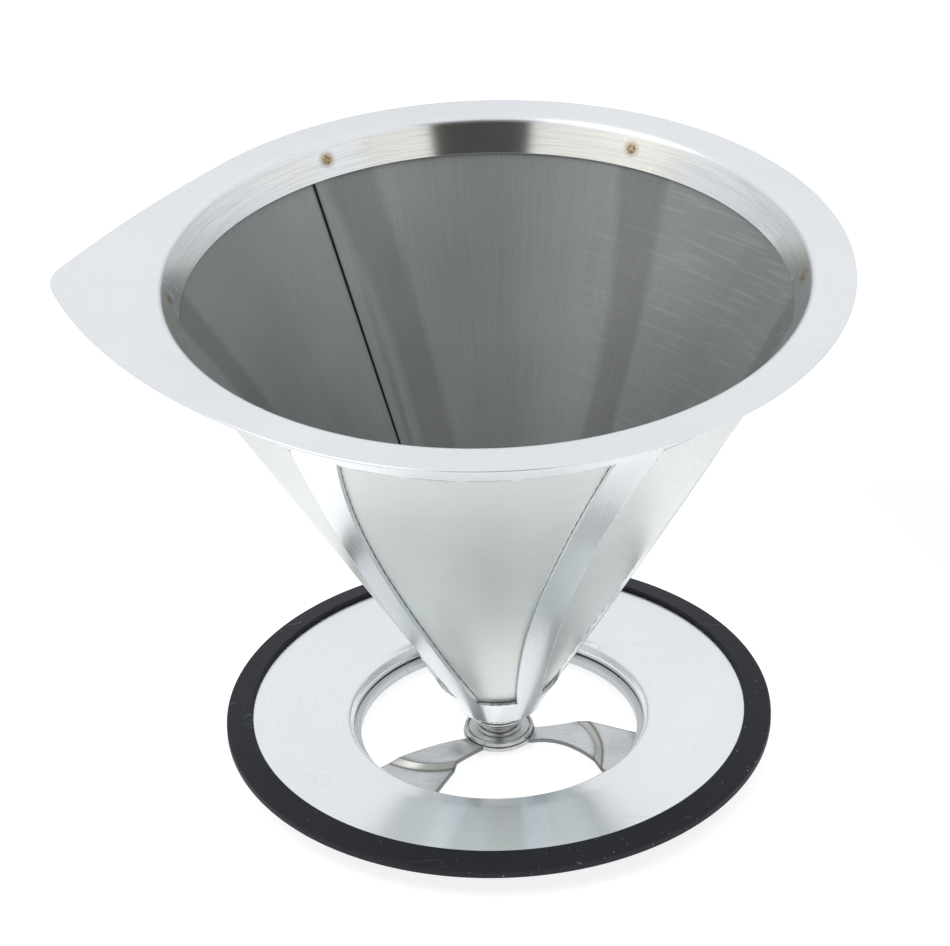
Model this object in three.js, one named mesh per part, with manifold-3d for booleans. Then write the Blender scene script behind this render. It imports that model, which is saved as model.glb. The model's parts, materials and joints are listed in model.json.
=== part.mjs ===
// A pour over coffee dripper: a mesh cone in a slotted steel shell, hung from a flat teardrop rim,
// screwed down onto a ring-shaped stand with three arms and a silicone edge.
// Millimetres, +Z up. The origin is on the axis, in the plane that the hub and the three arm tabs
// stand on. The rim's thumb tab points towards -X.
import * as THREE from "three";
import { mergeVertices } from "three/addons/utils/BufferGeometryUtils.js";
import Module from "manifold-3d";

const wasm = await Module();
wasm.setup();

// ---- driving dimensions -------------------------------------------------------------------
// Sizes that other sizes hang on come first in each group, and the rest are given from them.

// Screw
const screwRadius = 2.5;
const screwClearance = 0.25; // around the screw, in the neck, the cup and the hub
const screwHeadWidth = 1.0; // head's edge outside the thread
const screwHeadHeight = 1.3;
const screwSocketRadius = 1.5;
const screwSocketDepth = 0.8;
const screwEndGap = 0.15; // end of the screw to the hub's closed floor
const stackGap = 0.05; // between pieces that are clamped face to face

// Hub
const hubFloor = 0.4; // closed underside of the hub
const hubBodyWall = 1.9; // body's outside, beyond the screw
const hubFlangeWidth = 1.75; // flange beyond the body
const hubFlangeThickness = 0.3;
const hubLipHeight = 0.6; // raised lip around the washer
const hubLipWidth = 0.5;
const washerThickness = 0.4;
const washerGap = 0.25; // washer to the hub's lip

// Neck
const neckLength = 3.1;
const neckWaistWall = 1.5; // waist beyond the screw
const neckFootWidth = 0.1; // foot beyond the waist
const neckTopWidth = 0.95; // top beyond the waist
const neckFlareHeight = 1.4; // concave flare under the cup

// Spider: three arms on one sheet
const armCount = 3;
const armAzimuth = 103; // direction of the first arm, degrees
const spiderSheet = 0.8;
const armRise = 1.1; // how far the middle disc stands above the arms' tabs
const petalLift = [0.6, 0.85, 1.15, 1.5]; // top of each step above the disc, back to front
const waistLift = [1.3, 1.15, 0.95, 0.75]; // how far each arm arches above the disc
const tabLift = [0.6, 0.95, 1.5, 2.25]; // foot of each step above the tab's flat end
const tabFlat = 1.1; // flat end of each tab, measured inwards
const discMargin = 0.25; // the sheet's own disc beyond the hub's flange
const hubHoleGap = 0.2; // around the hub's body
const armNeckHalf = 2.1; // half width where an arm leaves the disc

// Stand rings
const lipRadius = 24.7; // inner face of the stand's lowest lip
const lipWall = 0.8;
const lipClearance = 0.4; // lip above the arms' tabs, filled by the welds
const stepRise = 1.7; // from the lip's lower edge up to the small flat step
const stepWidth = 1.2; // from the lip's inner face out to the upper shell
const plateRise = 3.4; // from the step up to the stand's upper face
const plateWidth = 20.2; // from the hole's wall to the shells' outer edge
const holeBend = 2.3; // roll-down of the upper shell into the hole
const upperSheet = 0.6;
const lowerSheet = 0.5;
const shellGap = 0.2; // between the two shells

// Silicone edge
const siliconeInset = 2.35; // lips reach this far over the shells
const siliconeOverhang = 2.5; // outside beyond the shells
const siliconeCrown = 0.85; // inner top edge above the metal
const siliconeShoulder = 0.3; // outer top edge below the metal's upper face
const siliconeLip = 0.6; // thickness of the lower lip
const siliconeGap = 0.12; // silicone to the metal

// Tip of the cone
const tipRadius = 4.215; // the collar's cone, carried down to the end cup's shoulder
const cupFloorThickness = 1.1;
const cupSpigotHeight = 3.6; // wall of the cup inside the mesh, above its shoulder
const cupWall = 0.6;
const meshSeatGap = 0.25; // mesh ends above the cup's shoulder

// Cone
const coneHalfAngle = 30; // degrees from the axis
const mouthRadius = 55.6; // where the collar's inner face would meet the rim's top face
const meshSheet = 0.35; // each mesh cone
const frameSheet = 0.6; // the slotted outer shell
const layerGap = 0.15; // between neighbouring layers
const frameStart = 2.4; // shell's lower edge above the cup's underside
const bottomBandHeight = 6.1; // shell's lower edge to the windows
const topBandHeight = 7.8; // window top to the rim's top face
const windowCount = 6;
const strutAzimuth = 56.8; // direction of the first strut at its top, degrees
const strutWidth = 5.8; // middle stretch of a strut
const strutFlare = 3.4; // how much wider a strut is at its top
const strutTaper = 1.1; // how much narrower it is at its foot
const strutBow = 4.1; // how far a strut's middle bows sideways
const strutLean = 0.5; // how far round a strut's foot is from its top

// Rim
const rimWidth = 6.9; // round outline beyond the mouth
const rimSheet = 0.5; // sheet thickness of the rim and its collar
const rimShiftX = 0.4; // the outline's centre, off the cone's axis
const rimShiftY = -0.5;
const tabLength = 12.7; // tip of the thumb tab beyond the round outline
const tabSkew = 2.6; // the tip's direction, degrees behind the -X axis
const tabTipSetback = 1.6; // length of the tip's rounding, along the tab
const tabStraightTurn = 40; // degrees from the tip to where its straighter edge meets the circle
const tabFullTurn = 60; // the same for its fuller edge
const bendRadius = 1.4; // bend from the rim into the collar, on the visible side
const collarDepth = 5.7; // height of the collar, from the rim's top face

// Welds
const collarWeldCount = 6;
const collarWeldAzimuth = 0.5; // direction of the first, degrees
const collarWeldRadius = 0.8;
const collarWeldDepth = 2.7; // below the rim's top face
const weldGap = 0.12;
const armWeldLength = 4;

const roundSteps = 60; // facets of the large rings
const smallSteps = 28; // facets of the neck, hub and screw

// ---- sizes that follow ----------------------------------------------------------------------

const radians = THREE.MathUtils.degToRad;
const tanCone = Math.tan(radians(coneHalfAngle));
const cosCone = Math.cos(radians(coneHalfAngle));
const sinCone = Math.sin(radians(coneHalfAngle));

// Heights of the clamped stack, from the arms upwards.
const discTop = armRise + spiderSheet;
const flangeBottom = discTop + stackGap;
const flangeTop = flangeBottom + hubFlangeThickness;
const washerBottom = flangeTop + stackGap;
const neckBottom = washerBottom + washerThickness + stackGap;
const neckTop = neckBottom + neckLength;
const cupFloorHeight = neckTop + stackGap;
const cupShoulder = cupFloorHeight + cupFloorThickness;
const cupFloorTop = cupShoulder - 2 * stackGap;
const headBottom = cupFloorTop + stackGap;

// Height at which the collar's inner face would come to a point, and the rim's top face.
const collarApex = cupShoulder - tipRadius / tanCone;
const rimTopHeight = collarApex + mouthRadius / tanCone;

const rimRadius = mouthRadius + rimWidth;
const tabReach = rimRadius + tabLength;
const frameBottomHeight = cupFloorHeight + frameStart;
const windowBottomHeight = frameBottomHeight + bottomBandHeight;
const windowTopHeight = rimTopHeight - topBandHeight;

const screwHoleRadius = screwRadius + screwClearance;
const hubBodyRadius = screwRadius + hubBodyWall;
const hubFlangeRadius = hubBodyRadius + hubFlangeWidth;
const hubDiscRadius = hubFlangeRadius + discMargin;
const hubHoleRadius = hubBodyRadius + hubHoleGap;

const lipHeight = spiderSheet + lipClearance;
const stepHeight = lipHeight + stepRise;
const plateHeight = stepHeight + plateRise;
const holeRadius = lipRadius + stepWidth;
const plateRadius = holeRadius + plateWidth;
const tabEndRadius = lipRadius + lipWall;

// ---- helpers ------------------------------------------------------------------------------

// A closed geometry, with its shared corners merged, as a solid that can be joined and cut.
function toSolid(geometry) {
  const bare = geometry.clone();
  bare.deleteAttribute("normal");
  bare.deleteAttribute("uv");
  const merged = mergeVertices(bare, 1e-4);
  return new wasm.Manifold(new wasm.Mesh({
    numProp: 3,
    vertProperties: new Float32Array(merged.attributes.position.array),
    triVerts: new Uint32Array(merged.index.array),
  }));
}

function toGeometry(solid) {
  const mesh = solid.getMesh();
  const geometry = new THREE.BufferGeometry();
  geometry.setAttribute("position", new THREE.BufferAttribute(mesh.vertProperties, 3));
  geometry.setIndex(new THREE.BufferAttribute(mesh.triVerts, 1));
  geometry.computeVertexNormals();
  return geometry;
}

// A ring or turned piece from its section: points are [radius, height], counter-clockwise
// with radius to the right and height up, and the last point joins the first.
function turned(points, steps = roundSteps) {
  const section = points.map(([radius, height]) => new THREE.Vector2(radius, height));
  section.push(section[0].clone());
  const geometry = new THREE.LatheGeometry(section, steps);
  return geometry.rotateX(Math.PI / 2);
}

// Points on an arc, [radius, height], from one angle to another in degrees.
function arc(centerRadius, centerHeight, arcRadius, fromDegrees, toDegrees, steps = 5) {
  return Array.from({ length: steps + 1 }, (_, i) => {
    const angle = radians(fromDegrees + ((toDegrees - fromDegrees) * i) / steps);
    return [centerRadius + arcRadius * Math.cos(angle), centerHeight + arcRadius * Math.sin(angle)];
  });
}

// A flat sheet piece: an outline pushed up from one height to another.
function sheet(shape, fromHeight, toHeight, curveSegments = 24) {
  const geometry = new THREE.ExtrudeGeometry(shape, {
    depth: toHeight - fromHeight, bevelEnabled: false, curveSegments,
  });
  return geometry.translate(0, 0, fromHeight);
}

function steel(color, roughness) {
  return new THREE.MeshStandardMaterial({ color, roughness, metalness: 1 });
}

const materials = {
  brushedSteel: steel(0xd9dde0, 0.32),
  frameSteel: steel(0xe0e5e8, 0.28),
  meshSteel: steel(0x8a8c88, 0.55),
  paleMesh: steel(0xc9cfc8, 0.5),
  polishedSteel: steel(0xe6e6e0, 0.12),
  weldSteel: steel(0x9a8566, 0.45),
  silicone: new THREE.MeshStandardMaterial({ color: 0x22252d, roughness: 0.75, metalness: 0 }),
};

const dripper = new THREE.Group();
const cone = new THREE.Group();
const stand = new THREE.Group();
dripper.add(cone, stand);

function place(group, name, geometry, material) {
  const mesh = new THREE.Mesh(geometry, material);
  mesh.name = name;
  group.add(mesh);
  return mesh;
}

// ---- cone: layers ---------------------------------------------------------------------------

// Every layer is a cone at some distance outwards from the collar's inner face, square to it.
const innerMeshOffset = rimSheet + layerGap;
const outerMeshOffset = innerMeshOffset + meshSheet + layerGap;
const frameOffset = outerMeshOffset + meshSheet + layerGap;
const stackThickness = frameOffset + frameSheet;

function coneRadius(height, offset) {
  return tanCone * (height - collarApex) + offset / cosCone;
}

// A conical sheet between two heights, its inner face at the given offset.
function coneSheet(bottom, top, offset, thickness) {
  return [
    [coneRadius(bottom, offset), bottom],
    [coneRadius(bottom, offset + thickness), bottom],
    [coneRadius(top, offset + thickness), top],
    [coneRadius(top, offset), top],
  ];
}

// Bend between the rim and the collar, and the top of the sheets that hang outside the collar.
const bendHeight = rimTopHeight - bendRadius;
const bendCenter = bendRadius * cosCone + tanCone * (bendHeight + bendRadius * sinCone - collarApex);
const layerTop = rimTopHeight - rimSheet - bendRadius + rimSheet * sinCone - layerGap;
const meshBottom = cupFloorHeight + cupFloorThickness + meshSeatGap;

// Spot welds go square through all the layers of the collar.
function collarWeldPlug(index, plugRadius, from, to) {
  const height = rimTopHeight - collarWeldDepth;
  const plug = new THREE.CylinderGeometry(plugRadius, plugRadius, to - from, 14);
  plug.translate(0, (from + to) / 2, 0);
  plug.rotateX(Math.PI / 2);
  plug.rotateY(Math.PI / 2 + radians(coneHalfAngle));
  plug.translate(coneRadius(height, 0), 0, height);
  return plug.rotateZ(radians(collarWeldAzimuth + (index * 360) / collarWeldCount));
}

const weldHoles = Array.from({ length: collarWeldCount }, (_, index) => toSolid(
  collarWeldPlug(index, collarWeldRadius + weldGap, -1, stackThickness + 1),
));

function cutWeldHoles(solid) {
  return weldHoles.reduce((cut, hole) => cut.subtract(hole), solid);
}

// ---- cone: rim ------------------------------------------------------------------------------

// The tab's two edges would meet in a corner a little past the rounded tip.
const tabCorner = tabReach + tabTipSetback / 2;

// An arc that leaves the tab's corner and runs into the rim's circle, turn degrees further on.
// Its centre lies on the line through the circle's centre and the point where they meet.
function tabEdge(turn) {
  const along = tabCorner * Math.cos(radians(Math.abs(turn)));
  const edgeRadius = (tabCorner ** 2 + rimRadius ** 2 - 2 * rimRadius * along)
    / (2 * (rimRadius - along));
  const meets = radians(turn);
  const back = edgeRadius - rimRadius;
  return Array.from({ length: 13 }, (_, i) => {
    const centerX = -back * Math.cos(meets);
    const centerY = -back * Math.sin(meets);
    const start = Math.atan2(-centerY, tabCorner - centerX);
    const angle = start + (meets - start) * (i / 12) ** 2;
    return new THREE.Vector2(
      centerX + edgeRadius * Math.cos(angle), centerY + edgeRadius * Math.sin(angle),
    );
  });
}

function rimOutline() {
  // Drawn with the tip on +X, and turned to its real direction at the end.
  // The tip's own curve starts where each edge is tabTipSetback short of the corner.
  const clear = (point) => point.x < tabCorner - tabTipSetback;
  const first = tabEdge(tabFullTurn).filter(clear);
  const last = tabEdge(-tabStraightTurn).filter(clear).reverse();
  const shape = new THREE.Shape();
  const turn = radians(180 - tabSkew);
  const at = (x, y) => [
    rimShiftX + x * Math.cos(turn) - y * Math.sin(turn),
    rimShiftY + x * Math.sin(turn) + y * Math.cos(turn),
  ];
  shape.moveTo(...at(first[0].x, first[0].y));
  first.slice(1).forEach((point) => shape.lineTo(...at(point.x, point.y)));
  shape.absarc(
    rimShiftX, rimShiftY, rimRadius, turn + radians(tabFullTurn),
    turn + 2 * Math.PI - radians(tabStraightTurn), false,
  );
  last.slice(1).forEach((point) => shape.lineTo(...at(point.x, point.y)));
  shape.quadraticCurveTo(...at(tabCorner, 0), ...at(first[0].x, first[0].y));
  return shape;
}

function rimFlange() {
  const outline = rimOutline();
  const openingRadius = bendCenter + bendRadius;
  outline.holes.push(new THREE.Path().absarc(0, 0, openingRadius, 0, 2 * Math.PI, true));
  const plate = toSolid(sheet(outline, rimTopHeight - rimSheet, rimTopHeight, roundSteps / 2));
  const bottom = rimTopHeight - collarDepth;
  const collar = toSolid(turned([
    [openingRadius + 1, rimTopHeight],
    ...arc(bendCenter, bendHeight, bendRadius, 90, 180 - coneHalfAngle, 4),
    [coneRadius(bottom, 0), bottom],
    [coneRadius(bottom, rimSheet), bottom],
    ...arc(bendCenter, bendHeight, bendRadius - rimSheet, 180 - coneHalfAngle, 90, 3),
    [openingRadius + 1, rimTopHeight - rimSheet],
  ]));
  return toGeometry(cutWeldHoles(plate.add(collar)));
}

place(cone, "rim_flange", rimFlange(), materials.brushedSteel);

// ---- cone: mesh layers ------------------------------------------------------------------------

function meshCone(offset) {
  return toGeometry(cutWeldHoles(toSolid(turned(coneSheet(meshBottom, layerTop, offset, meshSheet)))));
}

place(cone, "inner_mesh", meshCone(innerMeshOffset), materials.meshSteel);
place(cone, "outer_mesh", meshCone(outerMeshOffset), materials.paleMesh);

// ---- cone: slotted shell ------------------------------------------------------------------------

// Where a strut's edge runs, as an azimuth. side is -1 or 1, and share goes from 0 at the
// windows' lower edge to 1 at their upper edge. The strut's middle bows sideways as a
// parabola, it widens over its upper half, and it narrows over the lowest third.
function strutEdge(side, share, radius) {
  const bow = strutLean * (1 - share) - 4 * strutBow * share * (1 - share);
  const flare = strutFlare * Math.max(0, (share - 0.5) / 0.5) ** 2;
  const taper = strutTaper * Math.max(0, (0.3 - share) / 0.3);
  return (bow + (side * (strutWidth + flare - taper)) / 2) / radius;
}

// A window's cutter: a block of thin cells bent onto the cone, from one strut to the next.
function windowCutter(index) {
  const block = new THREE.BoxGeometry(1, 1, 1, 8, 10, 1);
  const spots = block.attributes.position;
  const outerStart = radians(strutAzimuth + (index * 360) / windowCount);
  for (let i = 0; i < spots.count; i += 1) {
    const share = spots.getY(i) + 0.5;
    const height = windowBottomHeight + share * (windowTopHeight - windowBottomHeight);
    const surface = coneRadius(height, stackThickness);
    const start = outerStart + strutEdge(1, share, surface);
    const end = outerStart + (2 * Math.PI) / windowCount + strutEdge(-1, share, surface);
    const azimuth = start + (spots.getX(i) + 0.5) * (end - start);
    const outwards = spots.getZ(i) * (frameSheet + 2 * layerGap) - frameSheet / 2;
    const radius = surface + outwards * cosCone;
    spots.setXYZ(i, radius * Math.cos(azimuth), radius * Math.sin(azimuth),
      height - outwards * sinCone);
  }
  return block;
}

function coneFrame() {
  const blank = toSolid(turned(coneSheet(frameBottomHeight, layerTop, frameOffset, frameSheet)));
  const cutters = Array.from({ length: windowCount }, (_, index) => toSolid(windowCutter(index)));
  return toGeometry(cutters.reduce((left, cutter) => left.subtract(cutter), cutWeldHoles(blank)));
}

place(cone, "cone_frame", coneFrame(), materials.frameSteel);

for (let index = 0; index < collarWeldCount; index += 1) {
  const plug = collarWeldPlug(index, collarWeldRadius, 0, stackThickness);
  place(cone, `collar_weld_${index + 1}`, plug, materials.weldSteel);
}

// ---- cone: tip ------------------------------------------------------------------------------

function tipCup() {
  const spigot = innerMeshOffset - layerGap * 1.5;
  const top = cupShoulder + cupSpigotHeight;
  return turned([
    [screwHoleRadius, cupFloorHeight],
    [coneRadius(cupFloorHeight, outerMeshOffset) - 0.3, cupFloorHeight],
    [coneRadius(cupShoulder, outerMeshOffset + meshSheet), cupShoulder],
    [coneRadius(cupShoulder, spigot), cupShoulder],
    [coneRadius(top, spigot), top],
    [coneRadius(top, spigot - cupWall), top],
    [coneRadius(cupFloorTop, spigot - cupWall), cupFloorTop],
    [screwHoleRadius, cupFloorTop],
  ], 48);
}

place(cone, "tip_cup", tipCup(), materials.brushedSteel);

// ---- cone: neck and screw ---------------------------------------------------------------------

function neckFerrule() {
  const waist = screwRadius + neckWaistWall;
  const foot = waist + neckFootWidth;
  const fillet = 0.75 * neckFootWidth;
  const footRim = 0.3;
  const topRim = 0.2;
  return turned([
    [screwHoleRadius, neckBottom],
    [foot, neckBottom],
    [foot - 0.1, neckBottom + footRim],
    ...arc(waist + fillet, neckBottom + footRim + fillet, fillet, 270, 180, 4),
    [waist, neckTop - topRim - neckFlareHeight],
    [waist + 0.1 * neckTopWidth, neckTop - topRim - 0.6 * neckFlareHeight],
    [waist + 0.4 * neckTopWidth, neckTop - topRim - 0.25 * neckFlareHeight],
    [waist + neckTopWidth, neckTop - topRim],
    [waist + neckTopWidth, neckTop],
    [screwHoleRadius, neckTop],
  ], smallSteps);
}

place(cone, "neck_ferrule", neckFerrule(), materials.polishedSteel);

function centerScrew() {
  const screwEnd = hubFloor + screwEndGap;
  const headTop = headBottom + screwHeadHeight;
  const headRadius = screwRadius + screwHeadWidth;
  const chamfer = 0.3;
  return turned([
    [0, screwEnd],
    [screwRadius - chamfer, screwEnd],
    [screwRadius, screwEnd + chamfer],
    [screwRadius, headBottom],
    [headRadius, headBottom],
    [headRadius, headTop - chamfer],
    [headRadius - chamfer, headTop],
    [screwSocketRadius, headTop],
    [screwSocketRadius, headTop - screwSocketDepth],
    [0, headTop - screwSocketDepth],
  ], smallSteps);
}

place(cone, "center_screw", centerScrew(), materials.polishedSteel);

// ---- stand: hub -------------------------------------------------------------------------------

const lipInnerRadius = hubFlangeRadius - hubLipWidth;

place(dripper, "hub_washer", turned([
  [screwHoleRadius + 0.1, washerBottom],
  [lipInnerRadius - washerGap, washerBottom],
  [lipInnerRadius - washerGap, washerBottom + washerThickness],
  [screwHoleRadius + 0.1, washerBottom + washerThickness],
], smallSteps), materials.brushedSteel);

function hubBush() {
  const lipTop = flangeTop + hubLipHeight;
  const chamfer = 0.2;
  return turned([
    [0, 0],
    [hubBodyRadius - chamfer, 0],
    [hubBodyRadius, chamfer],
    [hubBodyRadius, flangeBottom],
    [hubFlangeRadius, flangeBottom],
    [hubFlangeRadius, lipTop - chamfer],
    [hubFlangeRadius - chamfer, lipTop],
    [lipInnerRadius + chamfer / 2, lipTop],
    [lipInnerRadius, lipTop - chamfer / 2],
    [lipInnerRadius, flangeTop],
    [screwHoleRadius, flangeTop],
    [screwHoleRadius, hubFloor],
    [0, hubFloor],
  ], smallSteps);
}

place(stand, "hub_bush", hubBush(), materials.polishedSteel);

// ---- stand: spider ------------------------------------------------------------------------------

// A spot on an arm that points along +X. Both numbers are shares of the arm's length: how far
// out from the disc, and how far to the side.
function armSpot(out, side) {
  const armLength = tabEndRadius - hubDiscRadius;
  return new THREE.Vector2(hubDiscRadius + out * armLength, side * armLength);
}

// One arm, pointing along +X. Curves cross it, each given from its back edge to its front edge:
// the root under the hub's flange, the edge of the disc, the waist, the top and the foot of a
// step that runs askew, and the flat end. The inner part arches up, most at its back edge.
function armStations() {
  const flat = (x) => new THREE.LineCurve3(
    new THREE.Vector3(x, -armNeckHalf, discTop),
    new THREE.Vector3(x, armNeckHalf, discTop),
  );
  const across = (spots, lifts, base) => new THREE.CatmullRomCurve3(spots.map(([out, side], i) => {
    const spot = armSpot(out, side);
    return new THREE.Vector3(spot.x, spot.y, base + lifts[i]);
  }));
  const endArc = (radius) => {
    const ends = [radians(-18.5), radians(14.7)];
    return { getPoint: (share) => {
      const angle = ends[0] + share * (ends[1] - ends[0]);
      return new THREE.Vector3(radius * Math.cos(angle), radius * Math.sin(angle), spiderSheet);
    } };
  };
  const waist = [[0.33, -0.165], [0.3, -0.06], [0.26, 0.05], [0.2, 0.14]];
  const stepTop = [[0.67, -0.304], [0.634, -0.12], [0.534, 0.042], [0.382, 0.183]];
  const stepFoot = [[0.754, -0.361], [0.712, -0.162], [0.628, 0.045], [0.466, 0.236]];
  return {
    root: flat(hubHoleRadius + 0.5),
    neck: flat(hubDiscRadius),
    waist: across(waist, waistLift, discTop),
    top: across(stepTop, petalLift, discTop),
    foot: across(stepFoot, tabLift, spiderSheet),
    flat: endArc(tabEndRadius - tabFlat),
    end: endArc(tabEndRadius),
  };
}

// The arm's sheet: a grid over those curves for its top, the same grid one sheet lower, and
// walls round the border.
function armSheet(cellsAcross = 14, petalCells = 12, stepCells = 6, tabCells = 8) {
  const stations = armStations();
  const columns = Array.from({ length: cellsAcross + 1 }, (_, j) => {
    const at = (name) => stations[name].getPoint(j / cellsAcross);
    const between = (from, to, cells) => Array.from(
      { length: cells },
      (__, i) => at(from).lerp(at(to), (i + 1) / cells),
    );
    const petal = new THREE.CatmullRomCurve3([at("neck"), at("waist"), at("top")]);
    return [
      at("root"),
      ...Array.from({ length: petalCells + 1 }, (__, i) => petal.getPoint(i / petalCells)),
      ...between("top", "foot", stepCells),
      ...between("foot", "flat", tabCells),
      at("end"),
    ];
  });
  const rows = columns[0].map((_, i) => columns.map((column) => column[i]));
  const width = cellsAcross + 1;
  const points = rows.flat();
  const lower = points.length;
  const spots = [...points, ...points.map((p) => new THREE.Vector3(p.x, p.y, p.z - spiderSheet))];
  const faces = [];
  const quad = (a, b, c, d) => faces.push(a, b, c, a, c, d);
  for (let i = 0; i + 1 < rows.length; i += 1) {
    for (let j = 0; j < cellsAcross; j += 1) {
      const at = i * width + j;
      quad(at, at + width, at + width + 1, at + 1);
      quad(lower + at, lower + at + 1, lower + at + width + 1, lower + at + width);
    }
    const back = i * width;
    const front = back + cellsAcross;
    quad(back, lower + back, lower + back + width, back + width);
    quad(front + width, lower + front + width, lower + front, front);
  }
  for (let j = 0; j < cellsAcross; j += 1) {
    const last = (rows.length - 1) * width + j;
    quad(j + 1, lower + j + 1, lower + j, j);
    quad(last, lower + last, lower + last + 1, last + 1);
  }
  const geometry = new THREE.BufferGeometry().setFromPoints(spots);
  geometry.setIndex(faces);
  return toSolid(geometry);
}

function spider() {
  const disc = toSolid(turned([
    [hubHoleRadius, armRise],
    [hubDiscRadius, armRise],
    [hubDiscRadius, discTop],
    [hubHoleRadius, discTop],
  ], smallSteps));
  const arm = armSheet();
  return toGeometry(Array.from({ length: armCount }).reduce(
    (whole, _, index) => whole.add(arm.rotate([0, 0, armAzimuth + (index * 360) / armCount])),
    disc,
  ));
}

place(stand, "spider", spider(), materials.brushedSteel);

// A bead between each tab and the lip above it.
for (let index = 0; index < armCount; index += 1) {
  const half = armWeldLength / 2 / lipRadius;
  const middle = radians(armAzimuth + (index * 360) / armCount);
  const bead = new THREE.Shape();
  bead.absarc(0, 0, tabEndRadius - 0.1, middle - half, middle + half, false);
  bead.absarc(0, 0, lipRadius + 0.1, middle + half, middle - half, true);
  const geometry = sheet(bead, spiderSheet + stackGap, lipHeight - stackGap, 6);
  place(stand, `arm_weld_${index + 1}`, geometry, materials.weldSteel);
}

// ---- stand: shells ------------------------------------------------------------------------------

function lowerRing() {
  const topFace = plateHeight - upperSheet - shellGap;
  const rampStart = holeRadius + upperSheet + shellGap;
  const rampEnd = rampStart + (topFace - stepHeight);
  return turned([
    [lipRadius, lipHeight],
    [tabEndRadius, lipHeight],
    [tabEndRadius, stepHeight - lowerSheet],
    [rampStart + 0.3, stepHeight - lowerSheet],
    [rampEnd + 0.3, topFace - lowerSheet],
    [plateRadius, topFace - lowerSheet],
    [plateRadius, topFace],
    [rampEnd, topFace],
    [rampStart, stepHeight],
    [lipRadius + 0.2, stepHeight],
    [lipRadius, stepHeight - 0.2],
  ]);
}

place(stand, "lower_ring", lowerRing(), materials.brushedSteel);

function baseRing() {
  const bendCenterRadius = holeRadius + holeBend;
  const bendCenterHeight = plateHeight - holeBend;
  return turned([
    [holeRadius, stepHeight + shellGap],
    [holeRadius + upperSheet, stepHeight + shellGap],
    ...arc(bendCenterRadius, bendCenterHeight, holeBend - upperSheet, 180, 90, 3),
    [plateRadius, plateHeight - upperSheet],
    [plateRadius, plateHeight],
    ...arc(bendCenterRadius, bendCenterHeight, holeBend, 90, 180, 4),
  ]);
}

place(stand, "base_ring", baseRing(), materials.brushedSteel);

// A channel that snaps over the edge of both shells.
function siliconeRing() {
  const channelRadius = plateRadius + siliconeGap;
  const channelBottom = plateHeight - upperSheet - shellGap - lowerSheet - siliconeGap;
  const channelTop = plateHeight + siliconeGap;
  const innerRadius = plateRadius - siliconeInset;
  const outerRadius = plateRadius + siliconeOverhang;
  const crownHeight = plateHeight + siliconeCrown;
  const shoulderHeight = plateHeight - siliconeShoulder;
  return turned([
    [innerRadius, channelBottom - siliconeLip],
    [outerRadius - 0.5, channelBottom - siliconeLip],
    [outerRadius, channelBottom - siliconeLip + 0.4],
    [outerRadius, shoulderHeight - 0.3],
    [outerRadius - 0.3, shoulderHeight],
    [innerRadius + 0.3, crownHeight],
    [innerRadius, crownHeight - 0.15],
    [innerRadius, channelTop],
    [channelRadius, channelTop],
    [channelRadius, channelBottom],
    [innerRadius, channelBottom],
  ]);
}

place(stand, "silicone_ring", siliconeRing(), materials.silicone);

export default dripper;
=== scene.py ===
import json
import math

import bpy
import numpy as np
from mathutils import Matrix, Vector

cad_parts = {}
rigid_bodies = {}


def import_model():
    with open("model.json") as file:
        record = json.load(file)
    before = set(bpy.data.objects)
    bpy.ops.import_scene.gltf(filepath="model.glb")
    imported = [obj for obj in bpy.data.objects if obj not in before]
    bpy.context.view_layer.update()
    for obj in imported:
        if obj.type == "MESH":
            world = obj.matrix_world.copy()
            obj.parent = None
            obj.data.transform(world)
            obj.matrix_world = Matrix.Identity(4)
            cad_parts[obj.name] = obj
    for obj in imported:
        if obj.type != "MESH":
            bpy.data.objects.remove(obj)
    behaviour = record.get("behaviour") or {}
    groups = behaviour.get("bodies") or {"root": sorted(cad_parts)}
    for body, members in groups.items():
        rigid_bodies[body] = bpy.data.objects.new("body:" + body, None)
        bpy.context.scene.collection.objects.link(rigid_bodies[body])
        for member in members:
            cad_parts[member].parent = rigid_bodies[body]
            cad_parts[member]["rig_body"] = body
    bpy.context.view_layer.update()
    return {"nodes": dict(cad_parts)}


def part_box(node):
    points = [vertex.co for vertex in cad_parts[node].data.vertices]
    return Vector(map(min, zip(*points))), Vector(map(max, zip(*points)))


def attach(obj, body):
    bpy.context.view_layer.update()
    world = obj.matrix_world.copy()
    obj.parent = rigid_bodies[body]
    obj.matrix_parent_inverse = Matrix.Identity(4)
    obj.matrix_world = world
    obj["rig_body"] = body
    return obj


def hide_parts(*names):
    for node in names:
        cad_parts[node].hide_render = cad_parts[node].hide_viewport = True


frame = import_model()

mm = 0.001
full = 2 * math.pi
print("frame loaded:", len(frame["nodes"]), "nodes")


# ---- camera, floor and light

camera = {
    "place": (-0.0029, -0.8016, 0.5618),
    "right": (0.9995, -0.0166, -0.0263),
    "up": (0.0311, 0.5333, 0.8453),
    "back": (0.0, -0.8457, 0.5336),
    "lens": 206.7,
    "sensor": 36.0,
}

cameraData = bpy.data.cameras.new("camera")
cameraData.lens = camera["lens"]
cameraData.sensor_width = camera["sensor"]
cameraData.clip_start = 0.01
cameraObject = bpy.data.objects.new("camera", cameraData)
turn = Matrix((camera["right"], camera["up"], camera["back"])).transposed()
cameraObject.matrix_world = Matrix.Translation(camera["place"]) @ turn.to_4x4()
bpy.context.scene.collection.objects.link(cameraObject)
bpy.context.scene.camera = cameraObject
bpy.context.scene.view_settings.view_transform = "Standard"


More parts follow.
